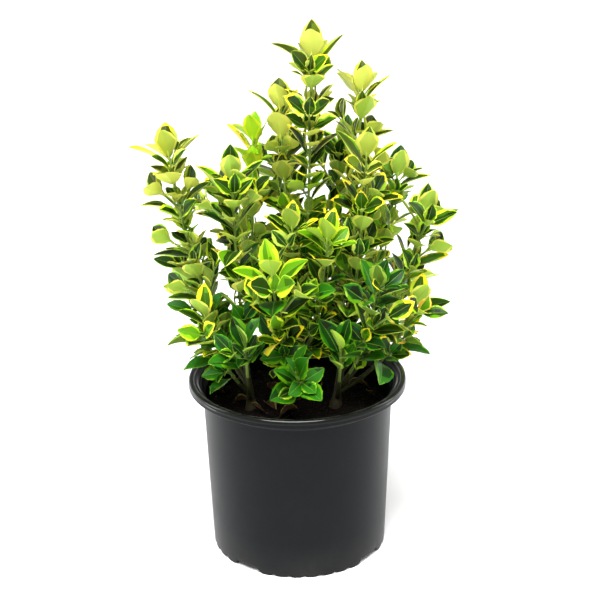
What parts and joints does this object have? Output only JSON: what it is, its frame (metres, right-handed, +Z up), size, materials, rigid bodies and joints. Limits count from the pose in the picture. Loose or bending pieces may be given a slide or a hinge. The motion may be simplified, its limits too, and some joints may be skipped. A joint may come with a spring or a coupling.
{
  "type": "potted flowering shrub",
  "caption": "Evergreen shrub in a round black nursery pot: upright leafy shoots with yellow-edged oval leaves in crossed pairs on woody stems.",
  "frame": {"origin": "the middle of the pot's underside, in the plane that it stands on", "axes": "+Z up, along the pot's axis; -Y towards the viewer of the picture, +X to the viewer's right"},
  "size_m": [0.2437, 0.2088, 0.424],
  "materials": {
    "pot": "satin black moulded plastic",
    "soil": "damp dark brown bark compost",
    "stem": "olive-brown bark",
    "bough": "green young bark",
    "foliage": "glossy green leaves with yellow edges"
  },
  "bodies": {
    "root": {"pot": "pot", "soil": "soil", "stem_middle": "stem", "stem_left": "stem", "stem_right": "stem", "stem_back": "stem", "bough_upper_left": "bough", "bough_centre": "bough", "bough_front": "bough", "bough_front_centre": "bough", "bough_low_front": "bough", "bough_far_left": "bough", "bough_left_lime": "bough", "bough_low_left": "bough", "bough_low_front_left": "bough", "bough_right_front": "bough", "bough_right_back": "bough", "bough_far_right": "bough", "bough_front_right": "bough", "bough_low_right": "bough", "bough_low_front_right": "bough", "bough_back_right": "bough", "bough_back_left": "bough", "bough_back_far_left": "bough", "bough_back_low_left": "bough", "bough_back_low": "bough", "bough_back_low_right": "bough", "bough_right_low_back": "bough", "foliage_top": "foliage", "foliage_upper_left": "foliage", "foliage_centre": "foliage", "foliage_front": "foliage", "foliage_front_centre": "foliage", "foliage_low_front": "foliage", "foliage_left_front": "foliage", "foliage_far_left": "foliage", "foliage_left_lime": "foliage", "foliage_low_left": "foliage", "foliage_low_front_left": "foliage", "foliage_right_top": "foliage", "foliage_right_front": "foliage", "foliage_right_back": "foliage", "foliage_far_right": "foliage", "foliage_front_right": "foliage", "foliage_low_right": "foliage", "foliage_low_front_right": "foliage", "foliage_back_centre": "foliage", "foliage_back_right": "foliage", "foliage_back_left": "foliage", "foliage_back_far_left": "foliage", "foliage_back_low_left": "foliage", "foliage_back_low": "foliage", "foliage_back_low_right": "foliage", "foliage_right_low_back": "foliage"}
  },
  "joints": []
}
